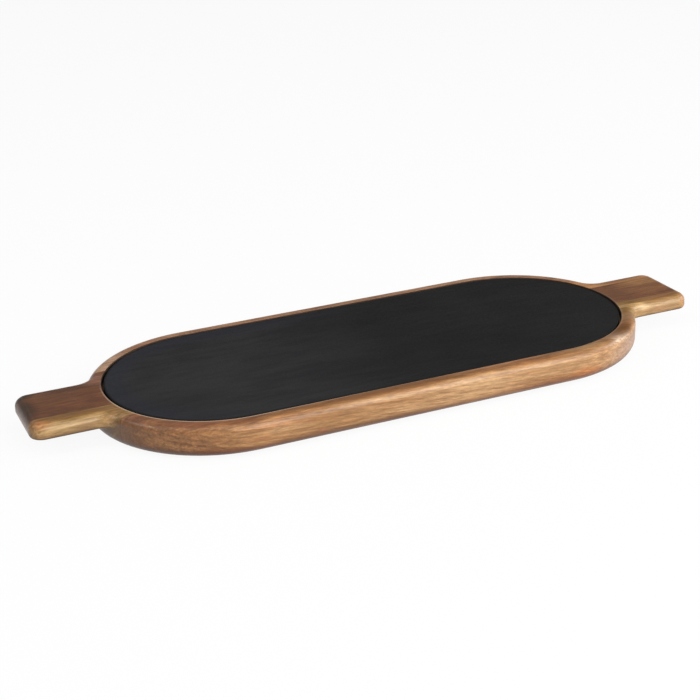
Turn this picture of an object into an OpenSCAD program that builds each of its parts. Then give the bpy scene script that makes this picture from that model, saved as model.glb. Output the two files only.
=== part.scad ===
// Serving board: a long round-ended wooden board with two flat handles and a
// slate plate that lies loose in a milled recess. The board is glued up from
// five staves and stands on four small feet.
// Length runs along X, width along Y, and Z is up from the table.

/* [Board] */
// Width of the board across its long sides
body_w = 181; // [160:1:210]
// Length of the straight sides between the round ends
straight_l = 236; // [160:1:320]
// Thickness of the wood
board_t = 23; // [21:0.5:28]
// Radius of the soft edge round the top
top_edge_r = 6; // [3:0.5:6.5]
// Radius of the large round where the side turns under to the underside
lower_edge_r = 8; // [4:0.5:10.5]
// Width of the centre stave
centre_stave_w = 36; // [32:1:44]
// Width of the stave on either side of it
inner_stave_w = 22; // [20:1:30]

/* [Handles] */
// Length of a handle, from the end of the body to the tip
handle_l = 47; // [38:1:60]
// Width of a handle
handle_w = 60; // [45:1:80]
// Thickness of a handle, measured down from the top
handle_t = 11; // [9.5:0.5:13]
// Radius of a handle tip's corners, seen from above
tip_corner_r = 9.5; // [8:0.5:16]
// Radius of the hollow corner between a handle and the body
junction_r = 12; // [6:0.5:18]
// Radius of the edge round a handle's underside
handle_lower_r = 2; // [0.5:0.5:3]

/* [Recess] */
// Width of the wooden rim round the recess
rim_w = 10.5; // [9:0.5:18]
// Depth of the recess
recess_depth = 6; // [5:0.5:8]
// Size of the small bevel on the rim's inner edge
rim_bevel = 0.4; // [0.2:0.1:1.5]
// Diameter of the hole underneath, for pushing the slate out
push_hole_d = 24; // [18:1:30]
// Size of the bevel round that hole's lower mouth
push_hole_bevel = 1; // [0.5:0.5:2]

/* [Slate] */
// Thickness of the slate
slate_t = 5.8; // [4:0.2:6]
// Gap all round between the slate and the wood
slate_gap = 1.6; // [0.5:0.1:2.5]
// Radius of the dressed edges of the slate
slate_edge_r = 0.8; // [0.2:0.1:1.5]

/* [Feet] */
// Diameter of a foot
foot_d = 14; // [10:0.5:18]
// Height of a foot below the wood
foot_proud = 1.5; // [1:0.5:3]
// Depth of the seat that a foot is set into
foot_seat_depth = 1; // [0.5:0.5:2]
// Clearance round a foot in its seat
foot_clearance = 0.3; // [0.2:0.1:0.6]
// Radius of a foot's lower edge
foot_edge_r = 0.7; // [0.3:0.1:1]
// Distance from the edge of the body in to the middle of a foot
foot_inset = 19.5; // [17.5:0.5:24]
// Direction of a foot from the middle of the round end, in degrees from the length
foot_angle = 65; // [55:1:90]

/* [Hidden] */
$fn = 96;

// How far a cutting shape runs past the surface that it cuts
overrun = 2;

// Heights from the table
underside_z = foot_proud;
top_z = underside_z + board_t;
floor_z = top_z - recess_depth;

// Plan sizes
body_r = body_w / 2;
recess_r = body_r - rim_w;
slate_r = recess_r - slate_gap;
end_x = straight_l / 2;
tip_x = end_x + body_r + handle_l;
handle_half = handle_w / 2;

// The centre of the hollow corner, from the middle of the round end. The corner
// touches both the handle's straight side and the round end.
junction_y = handle_half + junction_r;
junction_x = sqrt(pow(body_r + junction_r, 2) - pow(junction_y, 2));

// The middle of a foot, from the middle of the board
foot_x = end_x + (body_r - foot_inset) * cos(foot_angle);
foot_y = (body_r - foot_inset) * sin(foot_angle);

// The long faces of the staves, from the front side of the board to its back.
// Those between the first and the last are the glue lines.
centre_half = centre_stave_w / 2;
stave_faces = [
    -body_r,
    -centre_half - inner_stave_w,
    -centre_half,
    centre_half,
    centre_half + inner_stave_w,
    body_r
];

// Half of a slab's section: x runs out from the middle, y runs up, and the
// outer corners are rounded
module half_section(reach, height, top_r, lower_r) {
    difference() {
        square([reach, height]);
        translate([reach - top_r, height - top_r]) corner_waste(top_r);
        translate([reach - lower_r, lower_r]) mirror([0, 1]) corner_waste(lower_r);
    }
}

// What a rounded corner leaves off a square one, measured from the round's centre
module corner_waste(radius) {
    difference() {
        square([radius + overrun, radius + overrun]);
        circle(radius);
    }
}

// Sweeps a half section round a long outline with round ends
module round_ended(straight) {
    for (turn = [0, 180])
        rotate([0, 0, turn])
            translate([straight / 2, 0, 0])
                rotate_extrude(angle = 180, start = -90)
                    children();
    rotate([90, 0, 90])
        translate([0, 0, -straight / 2])
            linear_extrude(straight) {
                children();
                mirror([1, 0]) children();
            }
}

// One handle, from the middle of the body's round end out to the tip at +X
module handle() {
    bar_l = tip_x - tip_corner_r - end_x;
    tip_w = handle_w - 2 * tip_corner_r;
    translate([0, 0, top_z - handle_t]) {
        translate([end_x, 0, 0])
            rotate([90, 0, 90])
                linear_extrude(bar_l) {
                    handle_section(handle_half);
                    mirror([1, 0]) handle_section(handle_half);
                }
        translate([tip_x - tip_corner_r, tip_w / 2, 0])
            rotate([90, 0, 0])
                linear_extrude(tip_w)
                    handle_section(tip_corner_r);
        for (side = [-1, 1])
            translate([tip_x - tip_corner_r, side * tip_w / 2, 0])
                rotate_extrude(angle = 90, start = side > 0 ? 0 : -90)
                    handle_section(tip_corner_r);
    }
}

module handle_section(reach) {
    half_section(reach, handle_t, top_edge_r, handle_lower_r);
}

// Wood that fills the corner between a handle and the body, out to the hollow
// round. It is a wedge from the round's centre back to the middle of the handle.
module junction() {
    translate([end_x, 0, top_z - handle_t])
        difference() {
            linear_extrude(handle_t)
                polygon([[0, 0], [junction_x, 0], [junction_x, junction_y]]);
            translate([junction_x, junction_y, 0])
                rotate_extrude()
                    junction_waste();
        }
}

// Half section of what the hollow round removes, flared at the rounded edges
module junction_waste() {
    translate([0, -overrun]) square([junction_r, handle_t + 2 * overrun]);
    translate([junction_r + top_edge_r, handle_t - top_edge_r])
        mirror([1, 0]) corner_waste(top_edge_r);
    translate([junction_r + handle_lower_r, handle_lower_r])
        mirror([1, 0]) mirror([0, 1]) corner_waste(handle_lower_r);
}

// The whole outer shape of the glued-up blank
module blank() {
    translate([0, 0, underside_z])
        round_ended(straight_l)
            half_section(body_r, board_t, top_edge_r, lower_edge_r);
    for (end = [0, 1])
        mirror([end, 0, 0]) {
            handle();
            for (side = [0, 1])
                mirror([0, side, 0]) junction();
        }
}

// The milled recess, with its bevelled inner edge
module recess() {
    round_ended(straight_l)
        polygon([
            [0, floor_z],
            [recess_r, floor_z],
            [recess_r, top_z - rim_bevel],
            [recess_r + rim_bevel + overrun, top_z + overrun],
            [0, top_z + overrun]
        ]);
}

module push_hole() {
    hole_r = push_hole_d / 2;
    translate([0, 0, underside_z - overrun]) {
        cylinder(r = hole_r, h = board_t);
        cylinder(
            r1 = hole_r + push_hole_bevel + overrun,
            r2 = hole_r,
            h = push_hole_bevel + overrun
        );
    }
}

module foot_seats() {
    for (side_x = [-1, 1], side_y = [-1, 1])
        translate([side_x * foot_x, side_y * foot_y, underside_z - overrun])
            cylinder(r = foot_d / 2 + foot_clearance, h = foot_seat_depth + overrun);
}

// One stave of the finished board; number 0 is the front one
module stave(number) {
    front_face = stave_faces[number];
    stave_w = stave_faces[number + 1] - front_face;
    intersection() {
        difference() {
            blank();
            recess();
            push_hole();
            foot_seats();
        }
        translate([-tip_x - overrun, front_face, 0])
            cube([2 * (tip_x + overrun), stave_w, top_z + overrun]);
    }
}

module stave_front_outer() {
    color("peru") stave(0);
}

module stave_front_inner() {
    color("burlywood") stave(1);
}

module stave_centre() {
    color("saddlebrown") stave(2);
}

module stave_back_inner() {
    color("burlywood") stave(3);
}

module stave_back_outer() {
    color("sienna") stave(4);
}

module slate_plate() {
    color("darkslategray")
        translate([0, 0, floor_z])
            round_ended(straight_l)
                half_section(slate_r, slate_t, slate_edge_r, slate_edge_r);
}

// A rubber pad, set into its seat and glued there
module foot(side_x, side_y) {
    color("dimgray")
        translate([side_x * foot_x, side_y * foot_y, 0])
            rotate_extrude()
                difference() {
                    square([foot_d / 2, foot_proud + foot_seat_depth]);
                    translate([foot_d / 2 - foot_edge_r, foot_edge_r])
                        mirror([0, 1]) corner_waste(foot_edge_r);
                }
}

stave_front_outer();
stave_front_inner();
stave_centre();
stave_back_inner();
stave_back_outer();
slate_plate();
foot(-1, -1);  // foot_front_left
foot(1, -1);  // foot_front_right
foot(-1, 1);  // foot_back_left
foot(1, 1);  // foot_back_right
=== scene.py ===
"""Looks of the slate serving board: oiled hardwood, riven slate and rubber feet.

The wood keeps the solids of the frame, with a grain cut through each stave. The
slate plate and the feet are modelled here and stand for their solids.
Lengths are in metres unless a name says mm.
"""
import math

import bpy
from mathutils import Matrix, Vector


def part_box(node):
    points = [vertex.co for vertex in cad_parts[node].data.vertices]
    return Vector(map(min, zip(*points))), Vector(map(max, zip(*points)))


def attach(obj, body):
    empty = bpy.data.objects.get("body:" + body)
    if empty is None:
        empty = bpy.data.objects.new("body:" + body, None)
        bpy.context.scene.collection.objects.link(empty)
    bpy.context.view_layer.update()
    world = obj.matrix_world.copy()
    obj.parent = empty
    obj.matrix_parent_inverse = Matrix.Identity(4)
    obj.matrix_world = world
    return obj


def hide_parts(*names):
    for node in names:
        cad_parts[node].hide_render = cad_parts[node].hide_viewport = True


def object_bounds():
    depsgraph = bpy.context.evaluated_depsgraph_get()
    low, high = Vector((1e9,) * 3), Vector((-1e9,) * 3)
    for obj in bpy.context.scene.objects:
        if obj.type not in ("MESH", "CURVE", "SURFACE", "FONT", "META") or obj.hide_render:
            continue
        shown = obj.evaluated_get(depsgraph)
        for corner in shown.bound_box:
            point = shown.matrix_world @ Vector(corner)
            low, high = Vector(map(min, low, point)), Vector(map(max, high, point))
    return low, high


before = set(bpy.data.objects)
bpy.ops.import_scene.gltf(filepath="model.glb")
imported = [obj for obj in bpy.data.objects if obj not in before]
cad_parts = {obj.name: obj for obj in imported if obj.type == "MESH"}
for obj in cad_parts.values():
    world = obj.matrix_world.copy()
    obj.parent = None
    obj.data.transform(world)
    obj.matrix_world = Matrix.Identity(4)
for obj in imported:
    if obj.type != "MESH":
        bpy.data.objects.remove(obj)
cad_low, cad_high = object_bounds()

MM = 0.001
BODY_OF_WOOD = "board"
BODY_OF_SLATE = "slate"
FEET = ("foot_front_left", "foot_front_right", "foot_back_left", "foot_back_right")

# Sizes that the boxes of the frame don't give
SLATE_GAP_MM = 1.6
SLATE_EDGE_MM = 0.8
FOOT_EDGE_MM = 0.7

# Sizes and counts of what is finer than the solids
CUTTER_STEP_MM = 9.0
SPLIT_DEPTH_MM = 0.32
SPLIT_LEAVES = 5.0
CHIP_DEPTH_MM = 0.7
GROOVE_DEPTH_MM = 0.35
GROOVES = 3.0
GROOVED_SHARE = 0.84

# Below this rise, of -1 to 1, a point lies on the underside of a foot
FOOT_UNDERSIDE = -0.99

# Where a noise of 0 to 1 mostly stays
NOISE_SPAN = (0.3, 0.7)

# Kinds of socket
FLOAT = "NodeSocketFloat"
VECTOR = "NodeSocketVector"
WHOLE = "NodeSocketInt"
MESH = "NodeSocketGeometry"
FINISH = "NodeSocketMaterial"


def srgb(red, green, blue):
    """A colour as a painter's 0 to 255 numbers, turned into the linear values of a node."""
    def linear(level):
        share = level / 255
        return share / 12.92 if share <= 0.04045 else ((share + 0.055) / 1.055) ** 2.4
    return (linear(red), linear(green), linear(blue), 1.0)


WHITE = (1.0, 1.0, 1.0, 1.0)
GLUE_BROWN = srgb(70, 44, 28)
# A painted highlight for the edge round the recess
EDGE_HIGHLIGHT = srgb(220, 192, 162)
# Painted shade for the wall of the recess
GAP_SHADE = srgb(34, 23, 16)
# Painted shade for the faces that look down
UNDERSIDE_SHADE = srgb(158, 126, 92)
SLATE_DARK = srgb(32, 32, 34)
SLATE_PALE = srgb(43, 43, 44)
SLATE_BLUISH = srgb(36, 38, 50)
# Painted shade of the gap on the slate's edge
SLATE_EDGE_SHADE = srgb(16, 16, 17)
RUBBER_BLACK = srgb(34, 34, 35)
RUBBER_DUSTY = srgb(58, 57, 55)


# Places read from the frame, in millimetres

slate_low, slate_high = (corner / MM for corner in map(Vector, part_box("slate_plate")))
slate_radius_mm = slate_high.y
half_straight_mm = slate_high.x - slate_radius_mm
recess_radius_mm = slate_radius_mm + SLATE_GAP_MM
floor_z_mm = slate_low.z
wood_top_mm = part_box("stave_centre")[1][2] / MM


# Short ways to build a node tree

class Nodes:
    """Adds nodes and wires to one tree. A value for an input is a number or a socket."""

    def __init__(self, tree):
        self.tree = tree

    def feed(self, socket, value):
        """Wires a socket to an input, or sets a plain value on it."""
        if isinstance(value, bpy.types.NodeSocket):
            self.tree.links.new(value, socket)
        else:
            socket.default_value = value

    def add(self, kind, inputs=None, **settings):
        """A new node, with its settings and its inputs by name or number."""
        node = self.tree.nodes.new(kind)
        for name, value in settings.items():
            setattr(node, name, value)
        for key, value in (inputs or {}).items():
            self.feed(node.inputs[key], value)
        return node

    def math(self, operation, *values):
        """One sum with numbers."""
        return self.add("ShaderNodeMath", dict(enumerate(values)), operation=operation).outputs[0]

    def product(self, first, *others):
        """All these numbers multiplied together."""
        for value in others:
            first = self.math("MULTIPLY", first, value)
        return first

    def vector(self, operation, *values):
        """One sum with vectors. The length of a vector comes out as a number."""
        node = self.add("ShaderNodeVectorMath", dict(enumerate(values)), operation=operation)
        return node.outputs["Value" if operation == "LENGTH" else "Vector"]

    def scale(self, vector, factor):
        """A vector made longer or shorter."""
        inputs = {0: vector, "Scale": factor}
        return self.add("ShaderNodeVectorMath", inputs, operation="SCALE").outputs[0]

    def split(self, vector):
        """The three numbers of a vector."""
        node = self.add("ShaderNodeSeparateXYZ", {0: vector})
        return node.outputs["X"], node.outputs["Y"], node.outputs["Z"]

    def join(self, x, y, z):
        """A vector from three numbers."""
        return self.add("ShaderNodeCombineXYZ", {0: x, 1: y, 2: z}).outputs[0]

    def remap(self, value, low, high, to_low=0.0, to_high=1.0, kind="SMOOTHSTEP"):
        """Maps low..high onto to_low..to_high, held at both ends."""
        inputs = {0: value, 1: low, 2: high, 3: to_low, 4: to_high}
        return self.add("ShaderNodeMapRange", inputs, interpolation_type=kind).outputs[0]

    def vary(self, noise, to_low, to_high):
        """Maps a noise onto to_low..to_high in a straight line."""
        return self.remap(noise, *NOISE_SPAN, to_low, to_high, "LINEAR")

    def noise(self, vector, seed=0.0, detail=2.0, roughness=0.5):
        """Smooth noise of about 0 to 1, one feature to a unit, another one for each seed."""
        inputs = {"Vector": vector, "W": seed, "Scale": 1.0, "Detail": detail}
        inputs["Roughness"] = roughness
        return self.add("ShaderNodeTexNoise", inputs, noise_dimensions="4D").outputs[0]

    def streaks(self, point, sizes_mm, seed=0.0, detail=2.0, roughness=0.55):
        """Noise with features of these lengths along X, Y and Z, at a point in millimetres."""
        stretched = self.vector("DIVIDE", point, sizes_mm)
        return self.noise(stretched, seed, detail, roughness)

    def mix(self, share, first, second, blend="MIX"):
        """The first colour with this share of the second laid over it."""
        inputs = {0: share, 6: first, 7: second}
        return self.add("ShaderNodeMix", inputs, data_type="RGBA", blend_type=blend).outputs[2]

    def shade(self, colour, light):
        """A colour made lighter or darker by a number near 1."""
        return self.mix(1.0, colour, self.join(light, light, light), "MULTIPLY")


def new_group(name, kind, inputs, outputs):
    """An empty node group with these sockets: name, kind and, for an input, its value."""
    tree = bpy.data.node_groups.new(name, kind)
    for socket_name, socket_kind, value in inputs:
        socket = tree.interface.new_socket(socket_name, in_out="INPUT", socket_type=socket_kind)
        if value is not None:
            socket.default_value = value
    for socket_name, socket_kind in outputs:
        tree.interface.new_socket(socket_name, in_out="OUTPUT", socket_type=socket_kind)
    nodes = Nodes(tree)
    given = nodes.add("NodeGroupInput").outputs
    made = nodes.add("NodeGroupOutput").inputs
    return tree, nodes, given, made


# Effects that several finishes share

def make_sawn_grain():
    """The grain of a stave sawn lengthwise from a log whose pith runs nearly along X."""
    tree, nodes, given, made = new_group(
        "sawn_grain",
        "ShaderNodeTree",
        [
            ("Point mm", VECTOR, None),
            ("Pith Y mm", FLOAT, 0.0),
            ("Pith Z mm", FLOAT, -60.0),
            ("Pith Slope", FLOAT, 0.01),
            ("Grain Fall", FLOAT, 0.0),
            ("Ring Width mm", FLOAT, 4.0),
            ("Waver mm", FLOAT, 2.0),
            ("Seed", FLOAT, 0.0),
        ],
        [
            ("Bands", FLOAT),
            ("Rings", FLOAT),
            ("Fibres", FLOAT),
            ("Strokes", FLOAT),
            ("Pores", FLOAT),
            ("Figure", FLOAT),
            ("Streaks", FLOAT),
        ],
    )
    seed = given["Seed"]
    point = given["Point mm"]

    # The fibres wander sideways a little along the log, and fall towards one end of it, and
    # the rings with them
    wander_mm = (150, 60, 60)
    wander_y = nodes.math("SUBTRACT", nodes.streaks(point, wander_mm, seed, 1.0), 0.5)
    other_seed = nodes.math("ADD", seed, 40.0)
    wander_z = nodes.math("SUBTRACT", nodes.streaks(point, wander_mm, other_seed, 1.0), 0.5)
    sway = nodes.math("MULTIPLY", given["Waver mm"], 2.0)
    x, y, z = nodes.split(point)
    y = nodes.math("MULTIPLY_ADD", wander_y, sway, y)
    z = nodes.math("MULTIPLY_ADD", wander_z, sway, z)
    z = nodes.math("MULTIPLY_ADD", x, given["Grain Fall"], z)
    fibre_point = nodes.join(x, y, z)

    # Distance from the pith, counted in rings. Each ring darkens slowly and ends sharply.
    across = nodes.math("SUBTRACT", y, given["Pith Y mm"])
    across = nodes.math("MULTIPLY_ADD", x, given["Pith Slope"], across)
    height = nodes.math("SUBTRACT", z, given["Pith Z mm"])
    reach = nodes.vector("LENGTH", nodes.join(0.0, across, height))
    rings = nodes.math("DIVIDE", reach, given["Ring Width mm"])
    ripple = nodes.streaks(fibre_point, (60, 9, 9), seed, 2.0)
    rings = nodes.math("MULTIPLY_ADD", ripple, 0.8, rings)
    phase = nodes.math("FRACT", rings)
    late_wood = nodes.math("POWER", phase, 2.5)
    early_wood = nodes.remap(phase, 0.86, 1.0, 1.0, 0.0)
    nodes.feed(made["Rings"], nodes.product(late_wood, early_wood))

    # Bands of a few rings each
    band_along = nodes.math("DIVIDE", x, 300.0)
    band_across = nodes.math("MULTIPLY", rings, 0.7)
    band_place = nodes.join(band_along, band_across, 0.0)
    nodes.feed(made["Bands"], nodes.noise(band_place, seed, 3.0, 0.6))

    def drawn_out(sizes_mm, offset, detail, roughness=0.55):
        """Noise drawn out along the fibres."""
        own_seed = nodes.math("ADD", seed, offset)
        return nodes.streaks(fibre_point, sizes_mm, own_seed, detail, roughness)

    nodes.feed(made["Fibres"], drawn_out((22, 1.6, 1.6), 7.0, 4.0, 0.7))
    nodes.feed(made["Strokes"], drawn_out((8, 1.2, 1.2), 17.0, 3.0, 0.65))
    nodes.feed(made["Figure"], drawn_out((44, 20, 12), 23.0, 2.0))
    nodes.feed(made["Streaks"], drawn_out((120, 5, 5), 31.0, 3.0))
    nodes.feed(made["Pores"], nodes.remap(drawn_out((5.0, 0.45, 0.45), 13.0, 1.0), 0.6, 0.72))
    return tree


def make_facing():
    """How far a face looks along the board, where wood shows its end grain, sideways or down."""
    tree, nodes, given, made = new_group(
        "facing",
        "ShaderNodeTree",
        [("Normal", VECTOR, None)],
        [("End Grain", FLOAT), ("Long Side", FLOAT), ("Underneath", FLOAT)],
    )
    x, y, z = nodes.split(given["Normal"])
    nodes.feed(made["End Grain"], nodes.remap(nodes.math("ABSOLUTE", x), 0.4, 0.98))
    nodes.feed(made["Long Side"], nodes.remap(nodes.math("ABSOLUTE", y), 0.1, 0.95))
    nodes.feed(made["Underneath"], nodes.remap(z, 0.05, -0.6))
    return tree


def make_round_reach():
    """How far a point lies from the board's middle line, measured in plan like the round ends."""
    tree, nodes, given, made = new_group(
        "round_reach",
        "ShaderNodeTree",
        [("Point mm", VECTOR, None), ("Half Straight mm", FLOAT, 100.0)],
        [("Reach mm", FLOAT)],
    )
    x, y, _ = nodes.split(given["Point mm"])
    beyond = nodes.math("SUBTRACT", nodes.math("ABSOLUTE", x), given["Half Straight mm"])
    beyond = nodes.math("MAXIMUM", beyond, 0.0)
    nodes.feed(made["Reach mm"], nodes.vector("LENGTH", nodes.join(beyond, y, 0.0)))
    return tree


SAWN_GRAIN = make_sawn_grain()
FACING = make_facing()
ROUND_REACH = make_round_reach()


# Finishes

def new_finish(name):
    """A material with only its shader and output, and the ways to add nodes to it."""
    finish = bpy.data.materials.new(name)
    finish.use_nodes = True
    finish.node_tree.nodes.clear()
    nodes = Nodes(finish.node_tree)
    shader = nodes.add("ShaderNodeBsdfPrincipled")
    nodes.add("ShaderNodeOutputMaterial", {"Surface": shader.outputs[0]})
    return finish, nodes, shader


def place_in_mm(nodes):
    """The surface point of an object in millimetres, and its normal."""
    place = nodes.add("ShaderNodeTexCoord")
    return nodes.scale(place.outputs["Object"], 1 / MM), place.outputs["Normal"]


def reach_of(nodes, point):
    """A point's distance from the board's middle line, in millimetres."""
    inputs = {"Point mm": point, "Half Straight mm": half_straight_mm}
    return nodes.add("ShaderNodeGroup", inputs, node_tree=ROUND_REACH).outputs[0]


def spot(nodes, point, centre_mm, sizes_mm):
    """A soft patch, 1 in its middle and 0 outside an egg of these half sizes."""
    from_centre = nodes.vector("DIVIDE", nodes.vector("SUBTRACT", point, centre_mm), sizes_mm)
    return nodes.remap(nodes.vector("LENGTH", from_centre), 0.2, 1.0, 1.0, 0.0)


def emboss(nodes, shader, relief, strength, depth_mm):
    """Gives the surface a fine relief of this depth."""
    inputs = {"Height": relief, "Strength": strength, "Distance": depth_mm * MM}
    nodes.feed(shader.inputs["Normal"], nodes.add("ShaderNodeBump", inputs).outputs[0])


def make_wood(name, node_name, tones, blush, side_pale, drift, grain, patches):
    """Oiled hardwood: three tones laid along the grain of one stave.

    drift gives two places along X and the change of tone at each. side_pale is how
    much paler the long side is than the top, partly painted light and partly a paler side
    grain. blush is a second hue that comes and goes in long streaks. grain holds values for
    the inputs of the sawn grain.
    """
    pale, middle, deep = tones
    finish, nodes, shader = new_finish(name)
    point, normal = place_in_mm(nodes)
    x, y, z = nodes.split(point)
    reach = reach_of(nodes, point)
    past_wall = nodes.math("SUBTRACT", reach, recess_radius_mm)
    facing = nodes.add("ShaderNodeGroup", {"Normal": normal}, node_tree=FACING)
    cut = nodes.add("ShaderNodeGroup", {"Point mm": point, **grain}, node_tree=SAWN_GRAIN)
    bands, rings, fibres, strokes, pores, figure, streaks = cut.outputs

    # The tone runs from 0, pale, to 1, deep
    tone = nodes.math("MULTIPLY_ADD", rings, 0.2, nodes.vary(bands, 0.05, 0.75))
    tone = nodes.math("ADD", tone, nodes.vary(figure, -0.2, 0.2))
    tone = nodes.math("ADD", tone, nodes.vary(fibres, 0.16, -0.16))
    tone = nodes.math("ADD", tone, nodes.remap(x, *drift))
    # The long side is paler than the top: partly painted light, partly a paler side grain
    tone = nodes.math("MULTIPLY_ADD", facing.outputs["Long Side"], -side_pale, tone)
    colour = nodes.mix(nodes.remap(tone, 0.0, 0.5, kind="LINEAR"), pale, middle)
    colour = nodes.mix(nodes.remap(tone, 0.5, 1.0, kind="LINEAR"), colour, deep)
    colour = nodes.mix(nodes.remap(streaks, 0.48, 0.68, 0.0, 0.6), colour, blush)

    # Patches of another colour, frayed along the fibres. Some of them are painted shade and
    # painted highlights.
    frayed = nodes.remap(fibres, 0.25, 0.6, 0.35, 1.0)
    for centre_mm, sizes_mm, strength, patch_colour in patches:
        share = nodes.product(spot(nodes, point, centre_mm, sizes_mm), strength, frayed)
        colour = nodes.mix(share, colour, patch_colour)

    # Fine strokes of the fibres, painted shade on the underside, dark pores and the end grain
    colour = nodes.shade(colour, nodes.vary(fibres, 0.72, 1.26))
    colour = nodes.shade(colour, nodes.remap(strokes, 0.32, 0.68, 0.76, 1.22, "LINEAR"))
    shaded_underside = nodes.mix(1.0, colour, UNDERSIDE_SHADE, "MULTIPLY")
    colour = nodes.mix(nodes.product(facing.outputs["Underneath"], 0.8), colour, shaded_underside)
    colour = nodes.mix(nodes.product(pores, 0.4), colour, deep)
    colour = nodes.mix(nodes.product(facing.outputs["End Grain"], 0.3), colour, deep)

    # Glue lines where the stave meets its neighbours
    for face_y_mm, way_in in glue_faces(node_name):
        inwards = nodes.product(nodes.math("SUBTRACT", y, face_y_mm), way_in)
        colour = nodes.mix(nodes.remap(inwards, 0.1, 0.4, 0.45, 0.0), colour, GLUE_BROWN)

    # A painted highlight on the crisp edge round the recess, along the front and most of all at
    # its left end
    at_wall = nodes.remap(past_wall, 0.9, 1.5, 1.0, 0.0)
    at_top = nodes.remap(z, wood_top_mm - 0.6, wood_top_mm - 0.3)
    in_front = nodes.remap(y, 30.0, -30.0, 0.0, 0.6)
    at_left = nodes.remap(x, -130.0, -30.0, 1.0, 0.2)
    colour = nodes.mix(nodes.product(at_wall, at_top, in_front, at_left), colour, EDGE_HIGHLIGHT)

    # The milled floor of the recess has little oil on it, and cutter marks. Its wall is painted
    # dark with the shade of the gap.
    inside = nodes.remap(past_wall, -0.05, 0.1, 1.0, 0.0)
    milled = nodes.product(inside, nodes.remap(z, floor_z_mm - 0.5, floor_z_mm - 0.2))
    colour = nodes.mix(nodes.product(milled, 0.35), colour, pale)
    on_wall = nodes.remap(past_wall, 0.35, 0.2)
    off_floor = nodes.remap(z, floor_z_mm + 0.4, floor_z_mm + 1.0)
    colour = nodes.mix(nodes.product(on_wall, off_floor, 0.9), colour, GAP_SHADE)
    passes = nodes.math("DIVIDE", reach, CUTTER_STEP_MM)
    ridge = nodes.remap(nodes.math("PINGPONG", passes, 0.5), 0.0, 0.05, 1.0, 0.0)
    ridge = nodes.product(ridge, milled)
    colour = nodes.mix(nodes.product(ridge, 0.3), colour, deep)
    nodes.feed(shader.inputs["Base Color"], colour)

    polish = nodes.remap(fibres, 0.2, 0.8, 0.44, 0.28)
    nodes.feed(shader.inputs["Roughness"], nodes.math("MULTIPLY_ADD", milled, 0.25, polish))
    shader.inputs["Specular IOR Level"].default_value = 0.45
    relief = nodes.math("SUBTRACT", nodes.product(fibres, 0.6), pores)
    relief = nodes.math("MULTIPLY_ADD", ridge, 0.6, relief)
    emboss(nodes, shader, relief, 0.35, 0.15)
    return finish


def glue_faces(node_name):
    """The long faces of a stave that are glued to a neighbour, and the way in from each."""
    low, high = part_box(node_name)
    faces = []
    if low[1] > cad_low[1] + MM:
        faces.append((low[1] / MM, 1.0))
    if high[1] < cad_high[1] - MM:
        faces.append((high[1] / MM, -1.0))
    return faces


NO_DRIFT = (-1.0, 1.0, 0.0, 0.0)
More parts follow.
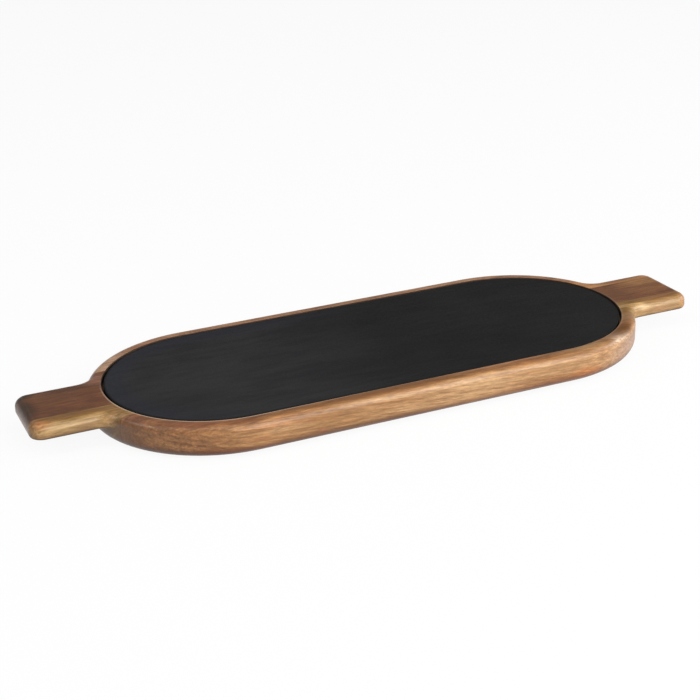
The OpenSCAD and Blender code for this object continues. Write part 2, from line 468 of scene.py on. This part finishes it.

# Each stave's own tones, its place in the log that it was sawn from, and patches of another
# colour in it, some of them painted shade and painted highlights: centre, half sizes,
# strength and colour
STAVES = {
    "stave_front_outer": {
        "tones": (srgb(199, 157, 111), srgb(168, 121, 76), srgb(124, 82, 51)),
        "blush": srgb(182, 124, 80),
        "side_pale": 0.46,
        "drift": (-190.0, -100.0, 0.8, 0.32),
        "grain": {"Pith Y mm": -40.0, "Pith Z mm": -150.0, "Grain Fall": 0.06, "Seed": 1.0},
        "patches": [
            # Paler and pinker on the right end's side: partly painted sheen, partly wood tone
            ((174.0, -72.0, 11.0), (44.0, 32.0, 15.0), 0.9, srgb(174, 140, 116)),
            ((34.0, -90.0, 13.0), (62.0, 8.0, 13.0), 0.6, srgb(214, 172, 124)),
            ((-68.0, -90.0, 13.0), (44.0, 8.0, 12.0), 0.6, srgb(152, 108, 64)),
            # A painted highlight on the top round at the right end
            ((168.0, -76.0, 23.0), (22.0, 14.0, 4.0), 0.7, srgb(222, 196, 168)),
            ((128.0, -90.0, 9.0), (20.0, 10.0, 6.0), 0.8, srgb(186, 116, 64)),
            ((104.0, -90.0, 6.5), (20.0, 10.0, 5.0), 0.45, srgb(168, 104, 62)),
            # Darker along the low front side: painted shade
            ((-50.0, -86.0, 3.0), (150.0, 14.0, 7.0), 0.45, srgb(140, 96, 56)),
            # Dark and reddish low under the left end: partly painted shade, partly wood tone
            ((-150.0, -84.0, 4.0), (44.0, 16.0, 7.0), 0.9, srgb(132, 66, 26)),
            # Darker along the top of the front rim: partly painted shade, partly wood tone
            ((-28.0, -83.0, 24.5), (110.0, 10.0, 3.5), 0.9, srgb(112, 74, 42)),
            ((134.0, -82.0, 24.5), (30.0, 10.0, 3.5), 0.5, srgb(186, 146, 98)),
            # Painted shade in the hollow corner at the left end
            ((-196.0, -44.0, 11.0), (9.0, 10.0, 16.0), 0.8, srgb(112, 82, 58)),
            ((-76.0, -90.0, 8.0), (5.0, 6.0, 3.0), 0.6, srgb(170, 100, 78)),
            ((-150.0, -70.0, 24.5), (60.0, 26.0, 3.0), 0.5, srgb(142, 88, 62)),
            ((-194.0, -50.0, 24.5), (14.0, 16.0, 4.0), 0.7, srgb(112, 66, 44)),
            ((172.0, -66.0, 24.5), (24.0, 20.0, 4.0), 0.95, srgb(100, 60, 12)),
            ((190.0, -46.0, 24.5), (16.0, 12.0, 4.0), 0.7, srgb(150, 116, 74)),
        ],
    },
    "stave_front_inner": {
        "tones": (srgb(184, 148, 98), srgb(132, 96, 46), srgb(100, 72, 40)),
        "blush": srgb(166, 122, 78),
        "side_pale": 0.45,
        "drift": (-230.0, 230.0, 0.08, 0.08),
        "grain": {"Pith Y mm": -75.0, "Pith Z mm": -40.0, "Seed": 2.0},
        "patches": [
            ((-249.0, -26.0, 24.0), (12.0, 8.0, 6.0), 0.5, srgb(186, 112, 64)),
            # Painted shade low on the left handle's side
            ((-232.0, -30.0, 12.5), (40.0, 9.0, 6.5), 0.8, srgb(104, 74, 46)),
            # Painted shade low on the right handle's side
            ((232.0, -30.0, 12.5), (40.0, 8.0, 4.0), 0.6, srgb(126, 86, 56)),
            ((232.0, -22.0, 24.5), (32.0, 8.0, 2.5), 0.7, srgb(142, 94, 58)),
            # Painted shade in the hollow under the left handle
            ((-202.0, -42.0, 7.0), (26.0, 13.0, 24.0), 0.95, srgb(108, 76, 52)),
            ((-212.0, -34.0, 23.0), (12.0, 8.0, 5.0), 0.5, srgb(150, 116, 72)),
            ((-220.0, -30.0, 15.5), (11.0, 6.0, 7.0), 0.7, srgb(128, 96, 64)),
            ((252.0, -26.0, 20.0), (10.0, 10.0, 8.0), 0.5, srgb(206, 140, 96)),
            # A painted highlight at the right handle's front corner
            ((213.0, -31.0, 22.5), (9.0, 6.0, 5.0), 0.7, srgb(224, 194, 148)),
            ((232.0, -30.0, 18.0), (22.0, 8.0, 6.0), 0.7, srgb(166, 126, 88)),
            ((-224.0, -22.0, 24.5), (30.0, 7.0, 2.5), 0.7, srgb(118, 80, 36)),
        ],
    },
    "stave_centre": {
        "tones": (srgb(135, 90, 53), srgb(109, 67, 39), srgb(75, 44, 26)),
        "blush": srgb(118, 68, 42),
        "side_pale": 0.1,
        "drift": (-200.0, 200.0, 0.12, -0.22),
        "grain": {"Pith Y mm": 20.0, "Pith Z mm": -90.0, "Seed": 3.0},
        "patches": [
            # Painted shade along the top of the left handle's tip
            ((-253.0, 3.0, 24.0), (12.0, 28.0, 6.0), 1.0, srgb(54, 34, 12)),
            # A painted highlight low along the left handle's tip
            ((-256.0, -6.0, 15.5), (5.0, 36.0, 4.0), 0.95, srgb(206, 180, 158)),
            ((206.0, 0.0, 24.5), (24.0, 22.0, 3.0), 0.6, srgb(96, 60, 36)),
            ((240.0, 13.0, 24.5), (30.0, 11.0, 3.0), 0.85, srgb(156, 112, 68)),
            ((-226.0, 13.0, 24.5), (30.0, 10.0, 3.0), 0.6, srgb(90, 56, 34)),
            ((-208.0, 4.0, 24.5), (10.0, 20.0, 3.0), 0.5, srgb(92, 50, 30)),
        ],
    },
    "stave_back_inner": {
        "tones": (srgb(188, 134, 86), srgb(130, 84, 52), srgb(90, 56, 34)),
        "blush": srgb(134, 84, 54),
        "side_pale": 0.1,
        "drift": (-215.0, 215.0, 0.6, -0.6),
        "grain": {"Pith Y mm": 70.0, "Pith Z mm": -50.0, "Seed": 4.0},
        "patches": [
            # Painted shade along the top of the left handle's tip
            ((-252.0, 24.0, 24.5), (12.0, 18.0, 6.0), 0.95, srgb(50, 38, 22)),
            ((-196.0, 28.0, 24.5), (16.0, 14.0, 4.0), 0.8, srgb(148, 102, 80)),
            ((226.0, 25.0, 24.5), (34.0, 9.0, 6.0), 0.8, srgb(112, 74, 42)),
        ],
    },
    "stave_back_outer": {
        "tones": (srgb(176, 134, 100), srgb(150, 106, 75), srgb(110, 76, 54)),
        "blush": srgb(152, 104, 76),
        "side_pale": 0.1,
        "drift": NO_DRIFT,
        "grain": {"Pith Y mm": 30.0, "Pith Z mm": -60.0, "Seed": 5.0},
        "patches": [((-184.0, 56.0, 24.5), (34.0, 34.0, 5.0), 0.9, srgb(184, 148, 120))],
    },
}


def finish_staves():
    """Gives each stave of the frame the wood of its own."""
    for node_name, looks in STAVES.items():
        finish = make_wood("oiled_" + node_name, node_name, **looks)
        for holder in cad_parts[node_name].material_slots:
            holder.material = finish


def make_slate_finish():
    """Natural split slate: near black, with faint streaks along the split, and painted shade at
    its edges and towards the right.
    """
    finish, nodes, shader = new_finish("riven_slate")
    point, _ = place_in_mm(nodes)
    x, y, _ = nodes.split(point)
    reach = reach_of(nodes, point)
    long_streaks = nodes.streaks(point, (34, 6, 6), 3.0, 3.0)
    clouds = nodes.streaks(point, (70, 45, 45), 5.0, 1.0)
    specks = nodes.streaks(point, (2.4, 1.0, 1.0), 9.0, 3.0, 0.6)
    share = nodes.math("MULTIPLY_ADD", clouds, 0.5, nodes.product(long_streaks, 0.5))
    colour = nodes.mix(nodes.remap(share, 0.35, 0.65), SLATE_DARK, SLATE_PALE)
    colour = nodes.shade(colour, nodes.vary(specks, 0.86, 1.14))

    # Painted shade, darker towards the right, and bluish towards the left and back edges
    colour = nodes.shade(colour, nodes.remap(x, -80.0, 20.0, 1.0, 0.45))
    near_rim = nodes.remap(reach, slate_radius_mm - 22.0, slate_radius_mm - 6.0)
    back_left = nodes.remap(nodes.math("SUBTRACT", y, x), 20.0, 160.0, 0.0, 0.4)
    colour = nodes.mix(nodes.product(near_rim, back_left), colour, SLATE_BLUISH)

    # Painted shade of the gap, dark on the dressed edge itself
    edge_from_mm = slate_radius_mm - 2.5 * SLATE_EDGE_MM
    edge_full_mm = slate_radius_mm - 0.7 * SLATE_EDGE_MM
    edge = nodes.remap(reach, edge_from_mm, edge_full_mm)
    colour = nodes.mix(nodes.product(edge, 0.85), colour, SLATE_EDGE_SHADE)
    nodes.feed(shader.inputs["Base Color"], colour)
    nodes.feed(shader.inputs["Roughness"], nodes.remap(specks, *NOISE_SPAN, 0.6, 0.76))
    shader.inputs["Specular IOR Level"].default_value = 0.2
    relief = nodes.math("MULTIPLY_ADD", long_streaks, 1.5, specks)
    emboss(nodes, shader, relief, 0.35, 0.2)
    return finish


def make_rubber_finish():
    """Matt moulded rubber with a fine tooth and a little dust in it."""
    finish, nodes, shader = new_finish("moulded_rubber")
    point, _ = place_in_mm(nodes)
    tooth = nodes.streaks(point, (0.5, 0.5, 0.5), 4.0, 2.0)
    dust = nodes.streaks(point, (5, 5, 5), 8.0, 2.0)
    colour = nodes.mix(nodes.remap(dust, 0.4, 0.8), RUBBER_BLACK, RUBBER_DUSTY)
    nodes.feed(shader.inputs["Base Color"], colour)
    nodes.feed(shader.inputs["Roughness"], nodes.remap(dust, *NOISE_SPAN, 0.7, 0.85))
    shader.inputs["Specular IOR Level"].default_value = 0.3
    emboss(nodes, shader, tooth, 0.3, 0.05)
    return finish


# Shapes made by geometry nodes

def shape_tree(name, inputs):
    """A geometry group with these inputs and a finish. It gives out one mesh."""
    inputs = inputs + [("Finish", FINISH, None)]
    return new_group(name, "GeometryNodeTree", inputs, [("Mesh", MESH)])


def close_shape(nodes, given, made, mesh):
    """Ends a shape: smooth faces, no instances, one finish."""
    mesh = nodes.add("GeometryNodeSetShadeSmooth", {"Geometry": mesh}).outputs[0]
    mesh = nodes.add("GeometryNodeRealizeInstances", {"Geometry": mesh}).outputs[0]
    inputs = {"Geometry": mesh, "Material": given["Finish"]}
    mesh = nodes.add("GeometryNodeSetMaterial", inputs).outputs[0]
    nodes.feed(made["Mesh"], mesh)


def swell(nodes, share):
    """Maps -1..1 onto itself with rows drawn together at both ends."""
    return nodes.math("SINE", nodes.math("MULTIPLY", share, math.pi / 2))


def beside(nodes, value):
    """The other leg of a right triangle whose long side is 1."""
    square = nodes.math("MULTIPLY", value, value)
    return nodes.math("SQRT", nodes.math("MAXIMUM", nodes.math("SUBTRACT", 1.0, square), 0.0))


def height_of(nodes, rise, full_height):
    """Maps a rise of -1..1 onto 0 to the full height."""
    return nodes.math("MULTIPLY", nodes.math("MULTIPLY_ADD", rise, 0.5, 0.5), full_height)


def make_slate_shape():
    """A long plate with half-round ends, a split face that steps in thin leaves, and
    dressed edges with small chips. All of it is cut down from the full size."""
    tree, nodes, given, made = shape_tree(
        "slate_plate_shape",
        [
            ("Half Straight", FLOAT, 0.1),
            ("Radius", FLOAT, 0.08),
            ("Underside", FLOAT, 0.0),
            ("Thickness", FLOAT, 0.006),
            ("Edge Radius", FLOAT, 0.001),
            ("Split Depth", FLOAT, 0.0003),
            ("Chip Depth", FLOAT, 0.0004),
            ("Seed", FLOAT, 1.0),
            ("Rows Along", WHOLE, 100),
            ("Rows Across", WHOLE, 60),
            ("Rows Deep", WHOLE, 8),
        ],
    )
    inputs = {
        "Size": (2.0, 2.0, 2.0),
        "Vertices X": given["Rows Along"],
        "Vertices Y": given["Rows Across"],
        "Vertices Z": given["Rows Deep"],
    }
    mesh = nodes.add("GeometryNodeMeshCube", inputs).outputs[0]
    share_x, share_y, share_z = nodes.split(nodes.add("GeometryNodeInputPosition").outputs[0])
    along, side, rise = swell(nodes, share_x), swell(nodes, share_y), swell(nodes, share_z)

    # The long plan with its round ends, and the full height
    end_reach = beside(nodes, side)
    half_length = nodes.math("MULTIPLY_ADD", given["Radius"], end_reach, given["Half Straight"])
    x = nodes.math("MULTIPLY", along, half_length)
    y = nodes.math("MULTIPLY", side, given["Radius"])
    z = height_of(nodes, rise, given["Thickness"])

    # The nearest point of the middle line, and the way out from it
    middle_x = nodes.math("MINIMUM", nodes.math("ABSOLUTE", x), given["Half Straight"])
    middle_x = nodes.math("MULTIPLY", middle_x, nodes.math("SIGN", x))
    outwards = nodes.join(nodes.math("SUBTRACT", x, middle_x), y, 0.0)
    reach = nodes.vector("LENGTH", outwards)
    way = nodes.vector("NORMALIZE", outwards)

    # Chips along the upper edge, where the dressing broke the leaves away
    point_mm = nodes.scale(nodes.join(x, y, z), 1 / MM)
    chips = nodes.streaks(point_mm, (5, 5, 5), given["Seed"], 2.0, 0.6)
    upper = nodes.math("DIVIDE", z, given["Thickness"])
    chips = nodes.product(nodes.remap(chips, 0.5, 0.75), nodes.remap(upper, 0.45, 1.0))
    rounding = nodes.math("MULTIPLY_ADD", chips, given["Chip Depth"], given["Edge Radius"])

    # Rounding: clamp to a core, then go out from it by the radius
    core_reach = nodes.math("SUBTRACT", given["Radius"], rounding)
    core_top = nodes.math("SUBTRACT", given["Thickness"], rounding)
    held_reach = nodes.math("MINIMUM", reach, core_reach)
    held_z = nodes.math("MAXIMUM", nodes.math("MINIMUM", z, core_top), rounding)
    past_reach = nodes.math("SUBTRACT", reach, held_reach)
    past_z = nodes.math("SUBTRACT", z, held_z)
    offset = nodes.vector("NORMALIZE", nodes.join(past_reach, past_z, 0.0))
    push_out, push_up, _ = nodes.split(nodes.scale(offset, rounding))
    new_reach = nodes.math("ADD", held_reach, push_out)
    new_z = nodes.math("ADD", held_z, push_up)

    # Leaves of the split face: a smooth noise cut into steps, only ever cut down
    leaf_seed = nodes.math("ADD", given["Seed"], 3.0)
    leaf = nodes.streaks(point_mm, (60, 20, 20), leaf_seed, 3.0)
    leaf = nodes.product(nodes.remap(leaf, 0.25, 0.75, kind="LINEAR"), SPLIT_LEAVES)
    whole_leaves = nodes.math("FLOOR", leaf)
    step = nodes.remap(nodes.math("FRACT", leaf), 0.0, 0.35)
    leaf = nodes.math("DIVIDE", nodes.math("ADD", whole_leaves, step), SPLIT_LEAVES)
    grit_seed = nodes.math("ADD", given["Seed"], 6.0)
    grit = nodes.remap(nodes.streaks(point_mm, (9, 4, 4), grit_seed), *NOISE_SPAN)
    cut = nodes.math("MULTIPLY_ADD", grit, 0.25, nodes.product(leaf, 0.75))
    cut = nodes.product(cut, nodes.remap(upper, 0.8, 1.0))
    new_z = nodes.math("SUBTRACT", new_z, nodes.product(cut, given["Split Depth"]))

    flat = nodes.vector("ADD", nodes.join(middle_x, 0.0, 0.0), nodes.scale(way, new_reach))
    height = nodes.math("ADD", new_z, given["Underside"])
    place = nodes.vector("ADD", flat, nodes.join(0.0, 0.0, height))
    mesh = nodes.add("GeometryNodeSetPosition", {"Geometry": mesh, "Position": place}).outputs[0]
    close_shape(nodes, given, made, mesh)
    return tree


def make_foot_shape():
    """A round rubber foot with a rounded lower edge and grip rings under it."""
    tree, nodes, given, made = shape_tree(
        "foot_shape",
        [
            ("Place", VECTOR, None),
            ("Radius", FLOAT, 0.007),
            ("Height", FLOAT, 0.0025),
            ("Edge Radius", FLOAT, 0.0007),
            ("Groove Depth", FLOAT, 0.0003),
            ("Grooves", FLOAT, 3.0),
            ("Sides", WHOLE, 64),
        ],
    )
    inputs = {
        "Vertices": given["Sides"],
        "Side Segments": 10,
        "Fill Segments": 28,
        "Radius": 1.0,
        "Depth": 2.0,
    }
    drum = nodes.add("GeometryNodeMeshCylinder", inputs, fill_type="TRIANGLE_FAN")
    x, y, rise = nodes.split(nodes.add("GeometryNodeInputPosition").outputs[0])
    outwards = nodes.join(x, y, 0.0)
    share = nodes.vector("LENGTH", outwards)
    way = nodes.vector("NORMALIZE", outwards)
    reach = nodes.math("MULTIPLY", share, given["Radius"])
    z = height_of(nodes, rise, given["Height"])

    # Round only the lower edge
    edge = given["Edge Radius"]
    held_reach = nodes.math("MINIMUM", reach, nodes.math("SUBTRACT", given["Radius"], edge))
    held_z = nodes.math("MAXIMUM", z, edge)
    past_reach = nodes.math("SUBTRACT", reach, held_reach)
    past_z = nodes.math("SUBTRACT", z, held_z)
    square = nodes.join(past_reach, 0.0, 0.0)
    rounded = nodes.scale(nodes.vector("NORMALIZE", nodes.join(past_reach, past_z, 0.0)), edge)
    lower = nodes.math("LESS_THAN", z, edge)
    blend = nodes.add("ShaderNodeMix", {0: lower, 4: square, 5: rounded}, data_type="VECTOR")
    push_out, push_up, _ = nodes.split(blend.outputs[1])
    new_reach = nodes.math("ADD", held_reach, push_out)
    new_z = nodes.math("ADD", held_z, push_up)

    # Rings pressed into the underside, between its middle and its rounded edge
    ring_turn = 2 * math.pi / GROOVED_SHARE
    turns = nodes.product(share, given["Grooves"], ring_turn)
    wave = nodes.remap(nodes.math("COSINE", turns), 0.1, -0.6)
    within = nodes.math("LESS_THAN", share, GROOVED_SHARE)
    underneath = nodes.math("LESS_THAN", rise, FOOT_UNDERSIDE)
    groove = nodes.product(wave, nodes.product(within, underneath), given["Groove Depth"])
    new_z = nodes.math("ADD", new_z, groove)

    upwards = nodes.vector("ADD", nodes.join(0.0, 0.0, new_z), given["Place"])
    place = nodes.vector("ADD", nodes.scale(way, new_reach), upwards)
    inputs = {"Geometry": drum.outputs["Mesh"], "Position": place}
    mesh = nodes.add("GeometryNodeSetPosition", inputs).outputs[0]
    close_shape(nodes, given, made, mesh)
    return tree


def grow(name, tree, values):
    """Runs a shape tree with these input values and keeps the result as a plain mesh."""
    blank = bpy.data.meshes.new(name + "_blank")
    piece = bpy.data.objects.new(name, blank)
    bpy.context.scene.collection.objects.link(piece)
    modifier = piece.modifiers.new("shape", "NODES")
    modifier.node_group = tree
    for item in tree.interface.items_tree:
        if item.in_out == "INPUT":
            modifier[item.identifier] = values[item.name]
    evaluated = piece.evaluated_get(bpy.context.evaluated_depsgraph_get())
    mesh = bpy.data.meshes.new_from_object(evaluated)
    piece.modifiers.clear()
    piece.data = mesh
    mesh.name = name
    bpy.data.meshes.remove(blank)
    return piece


def make_slate_plate():
    """The loose plate, which stands for its solid on the slate's own body."""
    values = {
        "Half Straight": half_straight_mm * MM,
        "Radius": slate_radius_mm * MM,
        "Underside": slate_low.z * MM,
        "Thickness": (slate_high.z - slate_low.z) * MM,
        "Edge Radius": SLATE_EDGE_MM * MM,
        "Split Depth": SPLIT_DEPTH_MM * MM,
        "Chip Depth": CHIP_DEPTH_MM * MM,
        "Seed": 11.0,
        "Rows Along": 260,
        "Rows Across": 130,
        "Rows Deep": 10,
        "Finish": make_slate_finish(),
    }
    piece = grow("slate_plate_riven", make_slate_shape(), values)
    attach(piece, BODY_OF_SLATE)
    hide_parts("slate_plate")


def make_feet():
    """The four feet, each in the place and size of its solid."""
    tree = make_foot_shape()
    finish = make_rubber_finish()
    for node_name in FEET:
        low, high = (Vector(corner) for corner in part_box(node_name))
        values = {
            "Place": ((low.x + high.x) / 2, (low.y + high.y) / 2, low.z),
            "Radius": (high.x - low.x) / 2,
            "Height": high.z - low.z,
            "Edge Radius": FOOT_EDGE_MM * MM,
            "Groove Depth": GROOVE_DEPTH_MM * MM,
            "Grooves": GROOVES,
            "Sides": 72,
            "Finish": finish,
        }
        piece = grow("rubber_" + node_name, tree, values)
        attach(piece, BODY_OF_WOOD)
        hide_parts(node_name)


# Floor, light and camera

# Where the photograph was taken from, as found from the board's outline in it: degrees,
# metres, and the point in the middle of the picture
CAMERA_AZIMUTH = -22.655
CAMERA_ELEVATION = 22.320
CAMERA_ROLL = 2.292
CAMERA_DISTANCE = 1.1436
CAMERA_TARGET_MM = (2.15, 44.88, 1.25)
LENS_MM = 77.71
SENSOR_MM = 36.0

# The floor: half its side, and its corners as shares of that
FLOOR_HALF = 12.0
FLOOR_CORNERS = ((-1, -1), (1, -1), (1, 1), (-1, 1))

# How pale the paper is to the board, which it lights a little. The camera sees it twice
# as pale, with this share of plain white laid over it.
PAPER_TONE = 0.45
WHITE_SHARE = 0.92

# Strength of the light from the walls, where 1 is white
FILL_STRENGTH = 0.15

# The sine of the elevation at which the white horizon ends, and the width of its fade
HORIZON_TOP = 0.14
HORIZON_FADE = 0.05

# The lamps: azimuth and elevation in degrees, distance, width, height, and watts
LAMPS = {
    "key_light": (24.0, 24.0, 2.4, 2.2, 1.5, 56.0),
    "right_sheen": (80.0, 24.0, 2.2, 0.7, 0.7, 14.0),
    "left_sheen": (-90.0, 35.0, 2.2, 0.9, 0.2, 9.0),
    "top_light": (8.0, 68.0, 2.0, 1.2, 0.9, 7.0),
    "left_fill": (-62.0, 60.0, 2.2, 1.2, 0.8, 5.0),
    "back_fill": (205.0, 42.0, 2.4, 1.6, 1.0, 4.0),
}


def seen_directly(nodes):
    """1 for what the camera sees, also in a reflection or through glass."""
    path = nodes.add("ShaderNodeLightPath").outputs
    mirrored = nodes.math("MAXIMUM", path["Is Glossy Ray"], path["Is Transmission Ray"])
    return nodes.math("MAXIMUM", path["Is Camera Ray"], mirrored)


def make_floor():
    """A wide white floor. The camera sees it white, with the board's soft shadow on it."""
    corners = [(x * FLOOR_HALF, y * FLOOR_HALF, 0) for x, y in FLOOR_CORNERS]
    mesh = bpy.data.meshes.new("studio_floor")
    mesh.from_pydata(corners, [], [(0, 1, 2, 3)])
    floor = bpy.data.objects.new("studio_floor", mesh)
    bpy.context.scene.collection.objects.link(floor)
    finish = bpy.data.materials.new("white_paper")
    finish.use_nodes = True
    finish.node_tree.nodes.clear()
    nodes = Nodes(finish.node_tree)
    seen = seen_directly(nodes)
    tone = nodes.math("MULTIPLY_ADD", seen, PAPER_TONE, PAPER_TONE)
    paper = nodes.add("ShaderNodeBsdfDiffuse", {"Color": nodes.join(tone, tone, tone)})
    glow = nodes.add("ShaderNodeEmission", {"Color": WHITE, "Strength": 1.0})
    share = nodes.math("MULTIPLY", seen, WHITE_SHARE)
    blend = nodes.add("ShaderNodeMixShader", {0: share, 1: paper.outputs[0], 2: glow.outputs[0]})
    nodes.add("ShaderNodeOutputMaterial", {"Surface": blend.outputs[0]})
    mesh.materials.append(finish)


def make_surroundings():
    """Dim walls, and a white horizon behind the floor for the views from low down."""
    world = bpy.data.worlds.new("white_studio")
    world.use_nodes = True
    world.node_tree.nodes.clear()
    nodes = Nodes(world.node_tree)
    fill = nodes.add("ShaderNodeBackground", {"Color": WHITE, "Strength": FILL_STRENGTH})
    white = nodes.add("ShaderNodeBackground", {"Color": WHITE, "Strength": 1.0})
    direction = nodes.add("ShaderNodeTexCoord").outputs["Generated"]
    height = nodes.split(direction)[2]
    low_down = nodes.remap(height, HORIZON_TOP, HORIZON_TOP - HORIZON_FADE)
    share = nodes.math("MULTIPLY", seen_directly(nodes), low_down)
    blend = nodes.add("ShaderNodeMixShader", {0: share, 1: fill.outputs[0], 2: white.outputs[0]})
    nodes.add("ShaderNodeOutputWorld", {"Surface": blend.outputs[0]})
    bpy.context.scene.world = world


def direction_of(azimuth, elevation):
    """The way from the board to a viewer or a lamp. Azimuth 0 is in front, 90 at +X."""
    turn = math.radians(azimuth)
    lift = math.radians(elevation)
    level = math.cos(lift)
    return Vector((math.sin(turn) * level, -math.cos(turn) * level, math.sin(lift)))


def add_softbox(name, azimuth, elevation, distance, width, height, power):
    """A rectangular lamp that faces the board from this direction."""
    lamp = bpy.data.lights.new(name, "AREA")
    lamp.shape = "RECTANGLE"
    lamp.size = width
    lamp.size_y = height
    lamp.energy = power
    holder = bpy.data.objects.new(name, lamp)
    holder.visible_camera = False
    bpy.context.scene.collection.objects.link(holder)
    back = direction_of(azimuth, elevation)
    holder.location = back * distance
    holder.rotation_euler = back.to_track_quat("Z", "Y").to_euler()


def place_camera():
    """Puts the camera where the photograph was taken from."""
    back = direction_of(CAMERA_AZIMUTH, CAMERA_ELEVATION)
    turn = math.radians(CAMERA_AZIMUTH)
    right = Vector((math.cos(turn), math.sin(turn), 0.0))
    up = back.cross(right)
    upright = Matrix((right, up, back)).transposed()
    facing = upright @ Matrix.Rotation(-math.radians(CAMERA_ROLL), 3, "Z")
    lens = bpy.data.cameras.new("camera")
    lens.lens = LENS_MM
    lens.sensor_width = SENSOR_MM
    camera = bpy.data.objects.new("camera", lens)
    camera.location = Vector(CAMERA_TARGET_MM) * MM + back * CAMERA_DISTANCE
    camera.rotation_euler = facing.to_euler()
    bpy.context.scene.collection.objects.link(camera)
    bpy.context.scene.camera = camera


place_camera()
finish_staves()
make_slate_plate()
make_feet()
make_floor()
make_surroundings()
for lamp_name, setting in LAMPS.items():
    add_softbox(lamp_name, *setting)
bpy.context.scene.view_settings.view_transform = "Standard"
